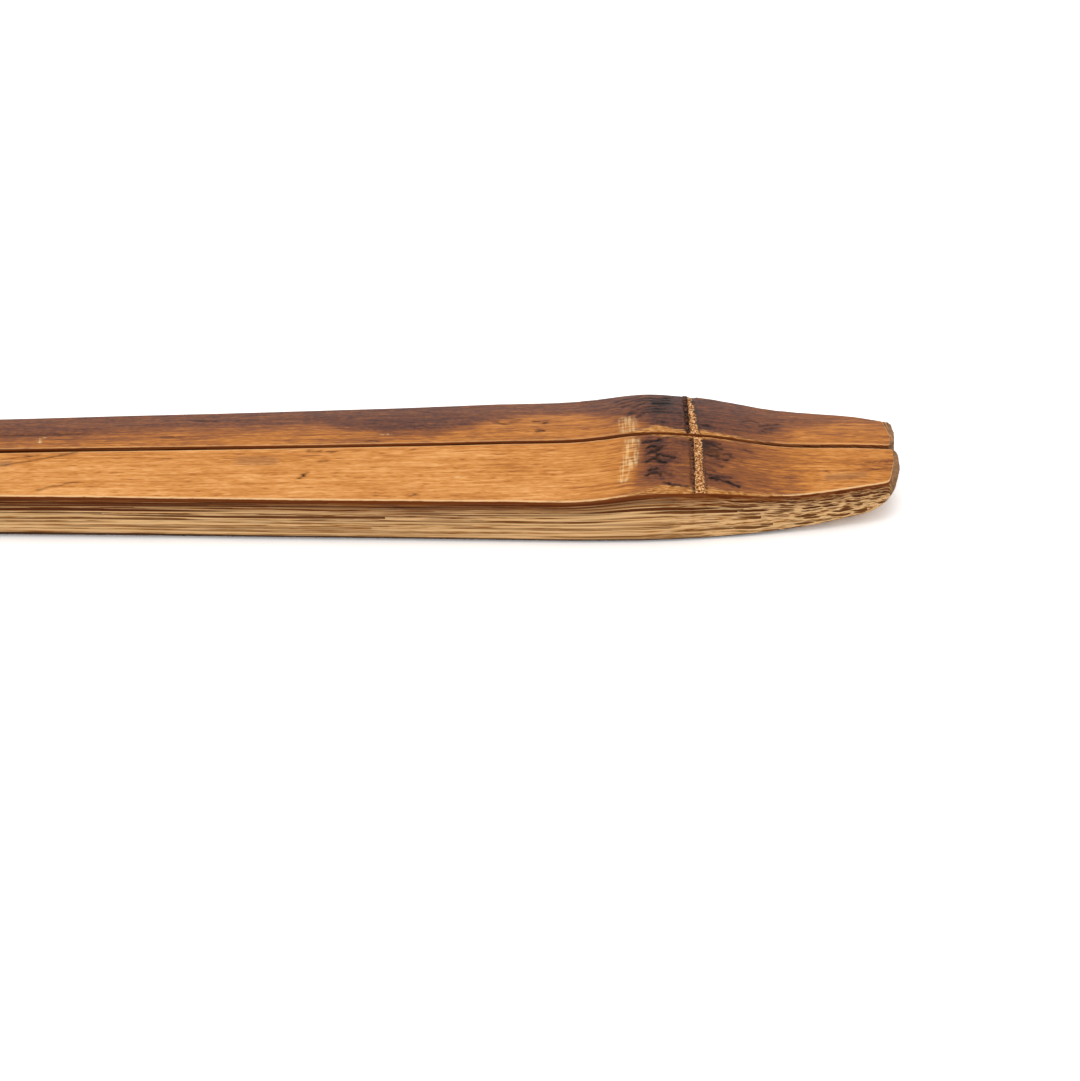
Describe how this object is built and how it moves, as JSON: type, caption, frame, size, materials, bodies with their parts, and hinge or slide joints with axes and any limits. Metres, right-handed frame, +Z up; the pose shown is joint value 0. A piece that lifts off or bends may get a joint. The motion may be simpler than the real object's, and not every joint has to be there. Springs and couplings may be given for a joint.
{
  "type": "pair of chopsticks",
  "caption": "Heat-darkened bamboo chopsticks laid side by side, with a swollen culm node near the boat-shaped grip end and slim rounded tips.",
  "frame": {"origin": "middle of the pair's length, in the split plane between the two sticks, on the surface that they rest on", "axes": "+X along the sticks towards the grip end, +Y across the pair from the front stick to the rear one, +Z up out of the skin"},
  "size_m": [0.2403, 0.018, 0.0082],
  "materials": {
    "bamboo": "carbonised bamboo: satin orange-brown skin with dark burnt zones, and matt cut sides with dark fibre streaks"
  },
  "bodies": {
    "root": {"front_chopstick": "bamboo", "rear_chopstick": "bamboo"}
  },
  "joints": []
}
